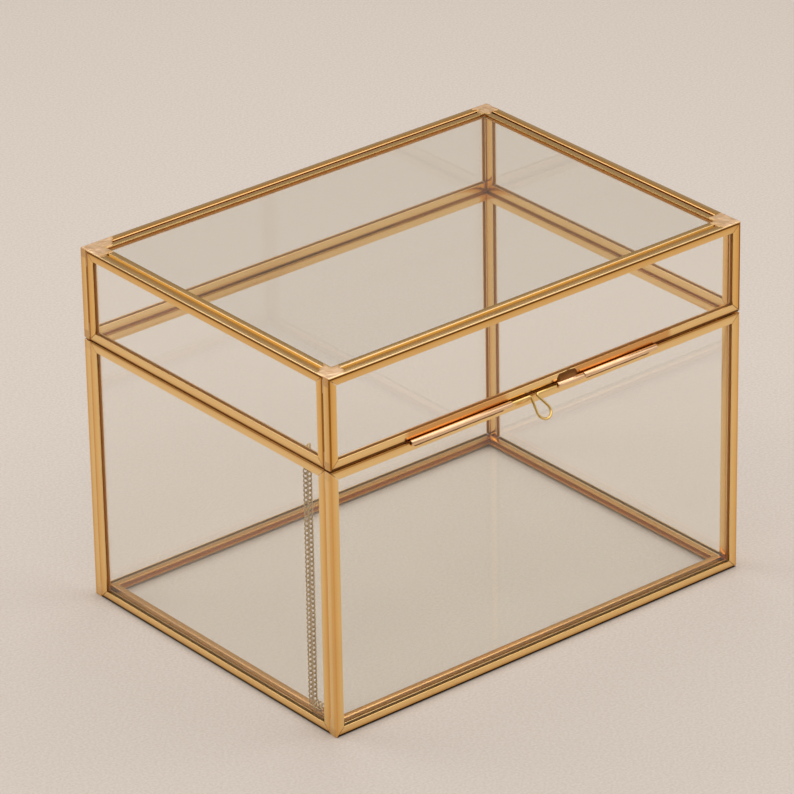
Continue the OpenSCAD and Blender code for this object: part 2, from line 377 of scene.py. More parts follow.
@dataclass(frozen=True)
class FloatGlass:
    """Clear 3 mm float glass: see-through and bending what is behind it, with a shine that grows at
    low angles. Lamps light what is inside through it."""

    name: str = "clear_float_glass"
    tint: str = "#FEFEFD"
    ior: float = 1.5

    def shader(self, add: Adder) -> Node:
        """Build the shader, which lets the rays pass that carry light to other surfaces.

        Args:
            add: adds a node to the material.

        Returns:
            The shader.
        """
        pane = add("BsdfGlass", {"Color": srgb(self.tint), "Roughness": 0.0, "IOR": self.ior})
        clear = add("BsdfTransparent", {"Color": srgb(self.tint)})
        ray = add("LightPath").outputs
        carries = add(
            "Math", {0: ray["Is Shadow Ray"], 1: ray["Is Diffuse Ray"]}, operation="MAXIMUM"
        )
        return add("MixShader", {0: carries, 1: pane, 2: clear})


@dataclass(frozen=True)
class TablePaper:
    """Heavy unbleached paper: matt, pale and warm, with a barely seen mottle of its fibres."""

    name: str = "table_paper"
    colour: str = "#D9D1CC"
    fleck: str = "#CFC6C0"
    flecks_per_m: float = 700.0

    def shader(self, add: Adder) -> Node:
        """Build the shader.

        Args:
            add: adds a node to the material.

        Returns:
            The shader.
        """
        place = add("TexCoord").outputs["Object"]
        mottle = add("TexNoise", {"Vector": place, "Scale": self.flecks_per_m, "Detail": 3.0})
        spread = add("MapRange", {"Value": mottle, "From Min": 0.35, "From Max": 0.65})
        body = add(
            "Mix", {"Factor": spread, 6: srgb(self.colour), 7: srgb(self.fleck)}, data_type="RGBA"
        )
        return add(
            "BsdfPrincipled", {"Base Color": body, "Roughness": 0.9, "Specular IOR Level": 0.15}
        )


@dataclass(frozen=True)
class DarkCard:
    """Dark brown card, fully matt."""

    name: str = "dark_card"
    colour: str = "#3A2A18"

    def shader(self, add: Adder) -> Node:
        """Build the shader."""
        return add("BsdfDiffuse", {"Color": srgb(self.colour), "Roughness": 1.0})


class Finish(Enum):
    """The finishes of the casket's pieces. The strips differ in the painted shade and painted
    highlights across their flanges and webs, chiefly the dark lines painted beside their folds.
    """

    # Faint painted shade beside the fold and at the web's edges; the flange is painted lighter
    # towards the lip.
    BASE_UPRIGHT = SheetBrass(
        "folded_sheet_brass_base_upright",
        ((0.0, "#F4C07A"), (0.6, "#EDB76A"), (1.3, "#F8C87C"), (3.0, "#FDD48E"), (4.8, "#FBDA98")),
        ((0.0, "#F4C07A"), (1.2, "#F4C47A"), (2.4, "#FCD794"), (4.2, "#FBDA9C"), (4.6, "#E2B070")),
        heat=0.2,
    )
    # A painted dark line beside the fold, 0.35 to 0.8 mm from it, and painted shade at both edges of
    # the web.
    LID_UPRIGHT = SheetBrass(
        "folded_sheet_brass_lid_upright",
        ((0.0, "#D09A50"), (0.35, "#A66C20"), (0.8, "#9A6018"), (1.25, "#EEB865"),
         (2.5, "#FBC777"), (4.8, "#FFD78B")),
        ((0.0, "#C08A40"), (0.6, "#F0BE74"), (2.5, "#FAD08A"), (3.9, "#FFDC9C"), (4.35, "#A87028"),
         (4.6, "#A87028")),
        heat=0.6,
    )
    # A painted dark line beside the fold, half a millimetre from it.
    RIM = SheetBrass(
        "folded_sheet_brass_rim",
        ((0.0, "#BE8E50"), (0.5, "#9A6A2E"), (1.0, "#F4C680"), (2.4, "#FFDA98"), (4.8, "#FFDA9A")),
        ((0.0, "#E2B67C"), (2.3, "#F0C684"), (4.6, "#E2B67C")),
        inner="#B87C34", heat=0.3, heat_mm=5.4,
    )
    # A broad painted dark line beside the fold and painted shade at both web edges, for the shaded
    # seam; a browner band is painted over the latch tubes as their reflection.
    LATCH_RIM = SheetBrass(
        "folded_sheet_brass_latch_rim",
        ((0.0, "#6A4418"), (0.9, "#5E3C12"), (1.3, "#F4C680"), (2.4, "#FFDA98"), (4.8, "#FFDA9A")),
        ((0.0, "#6A4418"), (2.3, "#F0C684"), (4.6, "#6A4418")),
        inner="#B87C34", heat=0.3, heat_mm=5.4,
        painted_tube_reflection=((0.0, "#FFFFFF"), (46.0, "#FFFFFF"), (49.0, "#E6CCB6"), (109.0, "#E6CCB6"),
                 (113.0, "#FFFFFF"), (132.0, "#FFFFFF")),
    )
    # A painted highlight at the fold, a painted dark line beside it, and an orange painted reflection
    # towards the web's inner edge.
    CROWN = SheetBrass(
        "folded_sheet_brass_crown",
        ((0.0, "#F4D4A0"), (0.4, "#D8AE74"), (0.65, "#6E4006"), (1.15, "#744812"),
         (1.6, "#EAB768"), (2.5, "#F6C67C"), (4.8, "#F9D089")),
        ((0.0, "#F4D4A0"), (1.0, "#ECCC9A"), (2.4, "#E4B876"), (3.4, "#E8AE5A"), (4.6, "#F0AE50")),
        heat=0.3, heat_mm=5.4,
    )
    # Painted contact shadow: near black at the lower fold and along both edges of the web.
    FOOT = SheetBrass(
        "folded_sheet_brass_foot",
        ((0.0, "#1E1004"), (1.1, "#2A1606"), (1.45, "#DCAA62"), (2.4, "#FAD28E"), (4.8, "#FFDA98")),
        ((0.0, "#1E1004"), (0.9, "#2A1606"), (2.3, "#8A6030"), (3.7, "#2A1606"), (4.6, "#1E1004")),
        inner="#805A1E", heat=0.3, heat_mm=5.4,
    )
    # Painted shade on the flattened fold and the web, and a painted highlight where the fold meets
    # the flange.
    FLAT = SheetBrass(
        "folded_sheet_brass_top",
        ((0.0, "#A8782E"), (1.45, "#A8782E"), (1.65, "#E4C090"), (2.4, "#E0BC84"), (4.8, "#DAB87C")),
        ((0.0, "#8C6630"), (2.3, "#A07C44"), (4.6, "#8C6630")),
        heat=0.0,
    )
    # Painted shade on the flattened fold and the web, and a painted highlight where the fold meets
    # the flange.
    FLOOR = SheetBrass(
        "folded_sheet_brass_bottom",
        ((0.0, "#6A4416"), (1.4, "#7A5220"), (1.7, "#F0C088"), (2.4, "#E8B468"), (4.8, "#E0AA5C")),
        ((0.0, "#6A4416"), (2.3, "#7A5220"), (4.6, "#6A4416")),
        heat=0.0,
    )
    TUBE = DrawnBrass("drawn_brass_tube", "#F8D4AE", "#E8BE92")
    WIRE = DrawnBrass("drawn_brass_wire", "#FADC98", "#C8A456", 0.08)
    CHAIN = DrawnBrass("chain_brass", "#FFD48A", "#DEA552", 0.2, 2.5)
    SOLDER = PlatedSolder()
    # Solder of the latch's webs, painted dark brown: painted shade and dark reflection under and over
    # the tubes.
    SHADED_SOLDER = PlatedSolder("solder_painted_dark", "#8A5C34", "#6E4420", "#40240E", 0.34)
    GLASS = FloatGlass()
    GLASS_BOTTOM = FloatGlass("clear_float_glass_bottom", ior=1.12)  # it mirrors less in the photo
    PAPER = TablePaper()
    CARD = DarkCard()

    def on(self, piece: Piece) -> None:
        """Give a piece this finish, made once and shared.

        Args:
            piece: the object to dress.
        """
        name = self.value.name
        material = bpy.data.materials.get(name) or make_material(name, self.value.shader)
        piece.data.materials.clear()
        piece.data.materials.append(material)


# ---------------------------------------------------------------- the bench


class Pick(Enum):
    """What an edit works on."""

    POINTS = "VERT"
    EDGES = "EDGE"
    FACES = "FACE"


def only(piece: Piece) -> None:
    """Select one object and nothing else.

    Args:
        piece: the object.
    """
    bpy.ops.object.select_all(action="DESELECT")
    piece.select_set(True)
    bpy.context.view_layer.objects.active = piece


@contextmanager
def editing(piece: Piece) -> Iterator[None]:
    """Open a piece in edit mode, and leave it in object mode afterwards.

    Args:
        piece: the mesh object to edit.

    Yields:
        Nothing; the body of the with statement runs in edit mode.
    """
    only(piece)
    bpy.ops.object.mode_set(mode="EDIT")
    yield
    bpy.ops.object.mode_set(mode="OBJECT")


def pick(piece: Piece, what: Pick, test: Callable[[object], bool]) -> None:
    """Select, in edit mode, the parts of a mesh that pass a test.

    Args:
        piece: the mesh object in edit mode.
        what: points, edges or faces.
        test: given each one, says whether it is wanted.
    """
    bpy.ops.mesh.select_mode(type=what.value)
    bpy.ops.mesh.select_all(action="DESELECT")
    mesh = bmesh.from_edit_mesh(piece.data)
    parts = {Pick.POINTS: mesh.verts, Pick.EDGES: mesh.edges, Pick.FACES: mesh.faces}[what]
    for part in [part for part in parts if test(part)]:
        part.select_set(True)
    mesh.select_flush_mode()
    bmesh.update_edit_mesh(piece.data)


def middle(edge: bmesh.types.BMEdge) -> Vector:
    """The middle of an edge."""
    return (edge.verts[0].co + edge.verts[1].co) / 2


def runs_along_x(edge: bmesh.types.BMEdge) -> bool:
    """Whether an edge runs along X."""
    step = edge.verts[1].co - edge.verts[0].co
    return abs(step.x) > 0.999 * step.length


def start(name: str, primitive: Callable[..., set[str]], **options: object) -> Piece:
    """Add a primitive, with its place, turn and size in its mesh.

    Args:
        name: the piece's name.
        primitive: the operator that adds it.
        options: what the operator is told.

    Returns:
        The new object.
    """
    bpy.ops.object.select_all(action="DESELECT")
    primitive(**options)
    bpy.ops.object.transform_apply(location=True, rotation=True, scale=True)
    piece = bpy.context.object
    piece.name = piece.data.name = name
    return piece


def block(name: str, low: Sequence[float], high: Sequence[float]) -> Piece:
    """Add a block between two corners.

    Args:
        name: the piece's name.
        low: its lowest corner, in millimetres.
        high: its highest corner, in millimetres.

    Returns:
        The block.
    """
    size = Vector(high) - Vector(low)
    cube = bpy.ops.mesh.primitive_cube_add
    return start(name, cube, size=1, location=Vector(low) + size / 2, scale=size)


def rod(name: str, radius: float, low: float, high: float, y: float, z: float, sides: int) -> Piece:
    """Add a round rod along X.

    Args:
        name: the piece's name.
        radius: its radius, in millimetres.
        low: X of its left end.
        high: X of its right end.
        y: Y of its axis.
        z: Z of its axis.
        sides: how many faces it has round it.

    Returns:
        The rod.
    """
    return start(
        name, bpy.ops.mesh.primitive_cylinder_add, vertices=sides, radius=radius,
        depth=high - low, rotation=(0, math.pi / 2, 0), location=((low + high) / 2, y, z),
    )


def sheet(name: str, columns: int, rows: int, spot: Callable[[float, float], Vector]) -> Piece:
    """Add a grid and bend it to a form.

    Args:
        name: the piece's name.
        columns: how many faces it has along X.
        rows: how many faces it has along Y.
        spot: the place of a point, given how far along and across the grid it is, from 0 to 1.

    Returns:
        The bent sheet.
    """
    piece = start(
        name, bpy.ops.mesh.primitive_grid_add, x_subdivisions=columns, y_subdivisions=rows,
        size=1, location=(0.5, 0.5, 0),
    )
    for point in piece.data.vertices:
        point.co = spot(point.co.x, point.co.y)
    return piece


def thicken(value: tuple[int, int, int], centre: tuple[float, float, float]) -> None:
    """Extrude what is selected in edit mode, and press it flat on a plane through a centre."""
    bpy.ops.mesh.extrude_region_move(TRANSFORM_OT_translate={"value": (0, 0, 0)})
    bpy.ops.transform.resize(value=value, center_override=centre)


def join(pieces: Sequence[Piece], name: str) -> Piece:
    """Join objects into one.

    Args:
        pieces: the objects, two or more; the first one is kept.
        name: the name of the result.

    Returns:
        The joined object.
    """
    only(pieces[0])
    for piece in pieces:
        piece.select_set(True)
    bpy.ops.object.join()
    pieces[0].name = pieces[0].data.name = name
    return pieces[0]


def copy_of(piece: Piece, place: Matrix) -> Piece:
    """Copy a piece with its own mesh, and move the copy.

    Args:
        piece: the object to copy.
        place: how the copy's mesh is moved, in millimetres.

    Returns:
        The copy.
    """
    twin = piece.copy()
    twin.data = piece.data.copy()
    twin.data.transform(place)
    bpy.context.scene.collection.objects.link(twin)
    return twin


def smooth(piece: Piece, angle: float) -> None:
    """Shade a piece smooth, with its edges kept sharp past an angle in degrees."""
    only(piece)
    bpy.ops.object.shade_smooth_by_angle(angle=math.radians(angle))


def close_up(piece: Piece, angle: float) -> Piece:
    """Merge doubles, turn all faces outwards and shade the piece.

    Args:
        piece: the finished shape.
        angle: past how many degrees an edge is kept sharp.

    Returns:
        The same object.
    """
    with editing(piece):
        bpy.ops.mesh.select_all(action="SELECT")
        bpy.ops.mesh.remove_doubles(threshold=0.0005)
        bpy.ops.mesh.normals_make_consistent(inside=False)
    smooth(piece, angle)
    return piece


def lay(piece: Piece, body: str, finish: Finish, nodes: Sequence[str]) -> None:
    """Bring a finished piece from millimetres to its place in the model.

    Args:
        piece: the object, modelled in millimetres in the model's axes.
        body: the body it rides on.
        finish: what it is made of.
        nodes: the solids that it stands for.
    """
    piece.data.transform(Matrix.Scale(MM, 4))
    finish.on(piece)
    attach(piece, body)
    if nodes:
        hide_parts(*nodes)
    log.info("%s rides on %s, %d faces", piece.name, body, len(piece.data.polygons))


# ---------------------------------------------------------------- the casket


@dataclass(frozen=True)
class Sizes:
    """Sizes that the sub-assemblies share, in millimetres, with the names of the source."""

    casket_w: float = 266.0
    casket_d: float = 196.0
    base_h: float = 146.2
    lid_h: float = 49.7
    seam_gap: float = 0.8
    channel_d: float = 4.8
    channel_t: float = 0.55
    channel_w: float = 4.6
    mitre_gap: float = 0.2
    panel_fit: float = 0.05
    pane_inset: float = 0.85
    pane_side: float = 0.8
    glass_t: float = 3.0
    solder_t: float = 0.3
    bottom_lift: float = 1.6
    tube_fit: float = 0.15
    casket_y: float = 3.7745

    @property
    def x_left(self) -> float:
        """Left face."""
        return -self.casket_w / 2

    @property
    def y_front(self) -> float:
        """Front face."""
        return self.casket_y - self.casket_d / 2

    @property
    def y_rear(self) -> float:
        """Rear face."""
        return self.casket_y + self.casket_d / 2

    @property
    def z_lid(self) -> float:
        """Lower edge of the lid."""
        return self.base_h + self.seam_gap

    @property
    def z_top(self) -> float:
        """Upper faces of the lid's channels."""
        return self.z_lid + self.lid_h

    @property
    def z_seam(self) -> float:
        """Middle of the gap between the rims."""
        return self.base_h + self.seam_gap / 2

    @property
    def side_len(self) -> float:
        """Length of a side panel, between the front and rear panels."""
        return self.casket_d - 2 * (self.channel_w + self.panel_fit)


S = Sizes()


class Part(Enum):
    """The two halves of the casket, by the body that each rides on."""

    BASE = "base"
    LID = "lid"


class Wall(Enum):
    """The four walls."""

    FRONT = "front"
    REAR = "rear"
    LEFT = "left"
    RIGHT = "right"

    @property
    def edges(self) -> tuple[str, ...]:
        """Names of the panel's four edges, in order round it."""
        side = self in (Wall.LEFT, Wall.RIGHT)
        return ("bottom", "rear", "top", "front") if side else ("bottom", "right", "top", "left")


@dataclass
class Panels:
    """The ten framed panes: four walls each of base and lid, the bottom and the top."""

    fold: float = 0.36
    foot_fold: float = 0.7
    shoulder: float = 1.7  # flattened folds of the bottom and top panels
    shoulder_r: float = 0.28
    fold_steps: int = 6
    lip_r: float = 0.1
    arris: float = 0.2
    patterns: dict[tuple[float, float], Piece] = field(default_factory=dict)

    def build(self) -> None:
        """Build the channels and panes of every panel."""
        for part in Part:
            height = S.base_h if part is Part.BASE else S.lid_h
            for wall in Wall:
                width = S.side_len if wall in (Wall.LEFT, Wall.RIGHT) else S.casket_w
                self._wall(part, wall, width, height)
        flat = (S.casket_w - 2 * (S.channel_w + S.panel_fit), S.side_len)
        self._flat(Part.BASE, "bottom", flat, S.bottom_lift)
        self._flat(Part.LID, "top", flat, S.z_top - S.channel_w)
        for pattern in self.patterns.values():
            bpy.data.objects.remove(pattern)

    def _wall(self, part: Part, wall: Wall, width: float, height: float) -> None:
        """Build one wall's four channels and its pane.

        Args:
            part: base or lid.
            wall: which wall.
            width: the panel's width, in millimetres.
            height: the panel's height, in millimetres.
        """
        stand = self._stand(part, wall)
        for i, edge in enumerate(wall.edges):
            node = f"{part.value}_{wall.value}_channel_{edge}"
            foot = part is Part.BASE and edge == "bottom"
            pattern = self._channel((width, height)[i % 2], self.foot_fold if foot else self.fold)
            piece = copy_of(pattern, stand @ self._edge(width, height, i))
            piece.name = piece.data.name = f"brass_{node}"
            if wall in (Wall.FRONT, Wall.RIGHT):  # here the web is measured from its other edge
                for spot in piece.data.uv_layers["Edge"].data:
                    spot.uv.y = S.channel_w * MM - spot.uv.y
            lay(piece, part.value, self._finish(part, wall, edge), [node])
        pane = self._pane(f"pane_{part.value}_{wall.value}", width, height)
        pane.data.transform(stand)
        lay(pane, part.value, Finish.GLASS, [f"{part.value}_{wall.value}_glass"])

    @staticmethod
    def _finish(part: Part, wall: Wall, edge: str) -> Finish:
        """Choose the brass of one edge of a wall.

        Args:
            part: base or lid.
            wall: which wall.
            edge: the edge's name.

        Returns:
            The finish.
        """
        if edge not in ("bottom", "top"):
            return Finish.BASE_UPRIGHT if part is Part.BASE else Finish.LID_UPRIGHT
        if (part, wall, edge) == (Part.LID, Wall.FRONT, "bottom"):
            return Finish.LATCH_RIM
        ends = {(Part.BASE, "bottom"): Finish.FOOT, (Part.LID, "top"): Finish.CROWN}
        return ends.get((part, edge), Finish.RIM)

    def _flat(self, part: Part, name: str, size: tuple[float, float], z: float) -> None:
        """Build the bottom or top panel.

        Args:
            part: base or lid.
            name: bottom or top.
            size: the panel's width and depth, in millimetres.
            z: height of its lower face, in millimetres.
        """
        place = Matrix.Translation((-size[0] / 2, S.casket_y - size[1] / 2, z))
        sides = [
            copy_of(self._channel(size[i % 2], self.shoulder), place @ self._edge(*size, i))
            for i in range(4)
        ]
        brass, glass = Finish.FLAT, Finish.GLASS
        if part is Part.BASE:
            brass, glass = Finish.FLOOR, Finish.GLASS_BOTTOM
        node = f"{part.value}_{name}_channels"
        lay(join(sides, f"brass_{node}"), part.value, brass, [node])
        pane = self._pane(f"pane_{part.value}_{name}", *size)
        pane.data.transform(place)
        lay(pane, part.value, glass, [f"{part.value}_{name}_glass"])

    def _channel(self, length: float, fold: float) -> Piece:
        """A mitred length of channel along +X, its web on y = 0, modelled once for each kind.

        Args:
            length: its outer length, in millimetres.
            fold: outside radius of its two folds, or how far a flattened fold reaches.

        Returns:
            The pattern piece, which is copied for each place.
        """
        if (length, fold) in self.patterns:
            return self.patterns[length, fold]
        piece = block("channel", (0, 0, 0), (length, S.channel_d, S.channel_w))
        with editing(piece):
            pick(piece, Pick.FACES, lambda f: f.normal.y > 0.9)
            bpy.ops.mesh.inset(thickness=S.channel_t, depth=0)
            drop = (0, -(S.channel_d - S.channel_t), 0)
            bpy.ops.mesh.extrude_region_move(TRANSFORM_OT_translate={"value": drop})
            if fold < self.shoulder:
                self._bevel(piece, 0, fold, self.fold_steps)
            else:
                self._bevel(piece, 0, fold, 1)
                self._bevel(piece, fold, self.shoulder_r, 4)
                self._bevel(piece, S.channel_t, fold - (2 - math.sqrt(2)) * S.channel_t, 1)
            self._bevel(piece, S.channel_d, self.lip_r, 2)
            for x, way in ((S.mitre_gap, -1), (length - S.mitre_gap, 1)):
                bpy.ops.mesh.select_all(action="SELECT")
                bpy.ops.mesh.bisect(
                    plane_co=(x, 0, 0), plane_no=(way, 1, 0), use_fill=True,
                    clear_outer=True, threshold=1e-5,
                )
        self._map(close_up(piece, 40), length)
        self.patterns[length, fold] = piece
        return piece

    @staticmethod
    def _bevel(piece: Piece, y: float, offset: float, steps: int) -> None:
        """Bevel, in edit mode, the long edges that lie at a distance y from the web's face."""
        pick(piece, Pick.EDGES, lambda e: runs_along_x(e) and abs(middle(e).y - y) < 1e-4)
        bpy.ops.mesh.bevel(offset=offset, segments=steps)

    @staticmethod
    def _map(piece: Piece, length: float) -> None:
        """Write the maps that the brass finish reads, in metres.

        Args:
            piece: the straight channel.
            length: its outer length, in millimetres.
        """
        mesh = piece.data
        while mesh.uv_layers:
            mesh.uv_layers.remove(mesh.uv_layers[0])
        for name in ("Run", "Ends", "Edge", "Sides"):
            mesh.uv_layers.new(name=name)
        run, ends, edge, sides = (layer.data for layer in mesh.uv_layers)
        for loop in mesh.loops:
            x, y, z = mesh.vertices[loop.vertex_index].co * MM
            run[loop.index].uv = (x, y + z)
            ends[loop.index].uv = (x, length * MM - x)
            edge[loop.index].uv = (y, z)
        for face in mesh.polygons:
            off = face.center.z - S.channel_w / 2
            inner = (
                face.center.y > S.channel_t - 1e-3
                and abs(off) < S.channel_w / 2 - S.channel_t + 1e-3
                and face.normal.y > -0.1
                and off * face.normal.z < 1e-3
            )
            web = face.normal.y < -0.9
            for i in face.loop_indices:
                sides[i].uv = (float(inner), float(web))

    def _pane(self, name: str, width: float, height: float) -> Piece:
        """A pane with its sharp edges ground off, drawn flat.

        Args:
            name: the piece's name.
            width: the panel's width, in millimetres.
            height: the panel's height, in millimetres.

        Returns:
            The pane.
        """
        inset, side = S.pane_inset, S.pane_side
        piece = block(name, (inset, inset, side), (width - inset, height - inset, side + S.glass_t))
        with editing(piece):
            bpy.ops.mesh.select_all(action="SELECT")
            bpy.ops.mesh.bevel(offset=self.arris, segments=1)
        return piece

    @staticmethod
    def _edge(width: float, height: float, i: int) -> Matrix:
        """How the channel of edge i lies in its flat panel, counted from the lower edge."""
        corner = ((0, 0), (width, 0), (width, height), (0, height))[i]
        return Matrix.Translation((*corner, 0)) @ Matrix.Rotation(math.radians(90 * i), 4, "Z")

    @staticmethod
    def _stand(part: Part, wall: Wall) -> Matrix:
        """How a flat panel stands in its wall's place.

        Args:
            part: base or lid.
            wall: which wall.

        Returns:
            The move, in millimetres.
        """
        z = 0.0 if part is Part.BASE else S.z_lid
        inside = S.y_front + S.channel_w
        spot = {
            Wall.FRONT: (S.x_left, inside, z),
            Wall.REAR: (S.x_left, S.y_rear, z),
            Wall.LEFT: (S.x_left, inside + S.panel_fit, z),
            Wall.RIGHT: (-S.x_left - S.channel_w, inside + S.panel_fit, z),
        }[wall]
        turn = Matrix.Rotation(math.radians(90 * (wall in (Wall.LEFT, Wall.RIGHT))), 4, "Z")
        return Matrix.Translation(spot) @ turn @ Matrix.Rotation(math.radians(90), 4, "X")


@dataclass(frozen=True)
class Flood:
    """Solder over one of the lid's top corners: a skin that fills the grooves and ends in an uneven
    line. Its points are counted from the corner: x from the side face, y from the front or rear."""

    sx: int  # -1 for a left corner and 1 for a right one
    sy: int  # -1 for a front corner and 1 for a rear one
    arms: tuple[float, float, float, float]  # reach along X, outer and inner, then along Y
    pane: float = 9.35  # where the top pane's clear part begins
    wander: float = 1.7
    wander_mm: float = 3.0
    blend: float = 2.4  # the rim that takes the brass's colour
    edge_r: float = 0.55
    inset: float = 0.1
    reach: float = 22.0
    steps: int = 46
    sink: float = 0.15
    ripple: float = 0.14
    ripple_mm: float = 2.4
    spill: float = 0.15  # how far the skin runs past its outline
    rim: float = 1.3  # over this width the skin rises from the brass
    dip: float = 0.5  # how far the grid is pushed down where there is no solder
    underside: float = 0.65  # depth of the closed underside, as a share of edge_r

    @property
    def seed(self) -> float:
        """The corner's own place in the noise."""
        return 3.7 + 5 * self.sx + 11 * self.sy

    def build(self) -> Piece:
        """Model the flood.

        Returns:
            The flood, in its place, in millimetres.
        """
        skin = sheet("flood", self.steps, self.steps,
                     lambda u, v: self._spot(self._crowd(u), self._crowd(v)))
        with editing(skin):
            pick(skin, Pick.POINTS,
                 lambda p: p.co.z < -0.9 * self.dip and self._margin(*p.co.xy) < 0)
            bpy.ops.mesh.delete(type="VERT")
            bpy.ops.mesh.select_all(action="SELECT")
            thicken((1, 1, 0), (0, 0, -self.edge_r * self.underside))
        thin = skin.data.uv_layers.new(name="Thin").data
        for spot, loop in zip(thin, skin.data.loops):
            x, y, _ = skin.data.vertices[loop.vertex_index].co
            inside = self._margin(x - self.inset, y - self.inset)
            spot.uv = (1 - min(1.0, max(0.0, inside / self.blend)), 0)
        y = S.y_front if self.sy < 0 else S.y_rear
        corner = Matrix.Translation((self.sx * -S.x_left, y, S.z_top))
        skin.data.transform(corner @ Matrix.Diagonal((-self.sx, -self.sy, 1, 1)))
        return close_up(skin, 70)

    def _crowd(self, t: float) -> float:
        """Distance of a grid line from the corner; the lines lie closer together near it."""
        return self.reach * (0.3 * t + 0.7 * t * t)

    def _noise(self, x: float, y: float, size: float) -> float:
        """The corner's noise at a point, with waves of a size in millimetres."""
        return noise.noise(Vector((x / size, y / size, self.seed)))

    def _margin(self, x: float, y: float) -> float:
        """How far inside the flood's uneven outline a point lies.

        Args:
            x: distance from the side face, in millimetres.
            y: distance from the front or rear face, in millimetres.

        Returns:
            Millimetres, below zero outside the outline.
        """
        wander = self._noise(x, y, self.wander_mm) + 0.4 * self._noise(x, y, 1)
        wander *= self.wander
        outer_x, inner_x, outer_y, inner_y = self.arms
        along_x = outer_x + (inner_x - outer_x) * min(1.0, y / self.pane) + wander - x
        along_y = outer_y + (inner_y - outer_y) * min(1.0, x / self.pane) + wander - y
        return max(min(along_x, self.pane - y), min(along_y, self.pane - x))

    def _spot(self, x: float, y: float) -> Vector:
        """Place of a point of the skin, from the corner and the channels' upper faces.

        Args:
            x: distance from the side face, in millimetres.
            y: distance from the front or rear face, in millimetres.

        Returns:
            The point, in millimetres.
        """
        r = self.edge_r
        bend = Vector((max(0.0, r - x), max(0.0, r - y)))
        close = min(1.0, bend.length / r)
        if bend.length > r:
            bend *= r / bend.length
            x, y = r - bend.x, r - bend.y
        fall = r * (1 - math.sqrt(max(0.0, 1 - close * close)))
        edge = min(1.0, max(0.0, (self._margin(x, y) + self.spill) / self.rim))
        wave = 0.7 * self._noise(x, y, self.ripple_mm) + 0.3 * self._noise(x, y, 1)
        lift = S.solder_t - self.sink + self.ripple * wave
        z = lift * edge * edge * (3 - 2 * edge) - self.dip * (edge <= 0) - fall
        return Vector((x + self.inset, y + self.inset, z))


@dataclass
class CornerSolder:
    """Solder in the corners: floods over the lid's four top corners, and fillets in the seams."""

    run: float = 8.0
    end_gap: float = 1.35
    fillet_x: float = 0.42
    fillet_r: tuple[float, float, float] = (0.4, 0.55, 0.5)
    floods: tuple[Flood, ...] = (
        Flood(-1, -1, (12.0, 13.4, 9.0, 15.0)),
        Flood(-1, 1, (20.5, 12.8, 16.0, 15.0)),
        Flood(1, -1, (12.0, 12.5, 15.0, 13.5)),
        Flood(1, 1, (10.6, 11.0, 10.6, 11.0)),
    )

    def build(self) -> None:
        """Build the base's and the lid's solder."""
        base = join(self._seams(0, S.base_h), "solder_base_seams")
        lay(base, "base", Finish.SOLDER, ["base_corner_solder"])
        floods = [flood.build() for flood in self.floods]
        lid = join(floods + self._seams(S.z_lid, S.z_top), "solder_lid_corners")
        lay(lid, "lid", Finish.SOLDER, ["lid_corner_solder"])

    def _seams(self, low: float, high: float) -> list[Piece]:
        """Fillets at both ends of the four upright seams.

        Args:
            low: the panels' lower edge, in millimetres.
            high: the panels' upper edge, in millimetres.

        Returns:
            Eight slim fillets.
        """
        drop = start(
            "fillet", bpy.ops.mesh.primitive_uv_sphere_add, segments=12, ring_count=8, radius=1
        )
        rise = self.fillet_r[2]
        with editing(drop):
            pick(drop, Pick.POINTS, lambda p: p.co.z > 0.05)
            bpy.ops.transform.translate(value=(0, 0, self.run / rise - 2))
        fillets = []
        gap = S.channel_w + S.panel_fit / 2
        shape = Matrix.Diagonal((*self.fillet_r, 1))
        for z in (low + self.end_gap, high - self.end_gap - self.run):
            for y in (S.y_front + gap, S.y_rear - gap):
                for side in (-1, 1):
                    spot = (side * (-S.x_left - self.fillet_x), y, z + rise)
                    fillets.append(copy_of(drop, Matrix.Translation(spot) @ shape))
        bpy.data.objects.remove(drop)
        for fillet in fillets:
            smooth(fillet, 80)
        return fillets


@dataclass
class Tube:
    """A length of drawn tube along X, with its bore open."""

    start: float  # X of its left end
    length: float
    radius: float
    bore: float
    y: float
    arris: float = 0.15

    def build(self, name: str) -> Piece:
        """Model the tube.

        Args:
            name: the piece's name.

        Returns:
            The tube, in its place, in millimetres.
        """
        end = self.start + self.length
        piece = rod(name, self.radius, self.start, end, self.y, S.z_seam, 32)
        with editing(piece):
            pick(piece, Pick.EDGES, lambda e: not runs_along_x(e))
            bpy.ops.mesh.bevel(offset=self.arris, segments=2)
            pick(piece, Pick.FACES, lambda f: abs(f.normal.x) > 0.99)
            bpy.ops.mesh.inset(thickness=self.radius - self.arris - self.bore, depth=0)
            bpy.ops.mesh.delete(type="FACE")
            pick(piece, Pick.EDGES, lambda e: e.is_boundary)
            bpy.ops.mesh.bridge_edge_loops()
        return close_up(piece, 50)


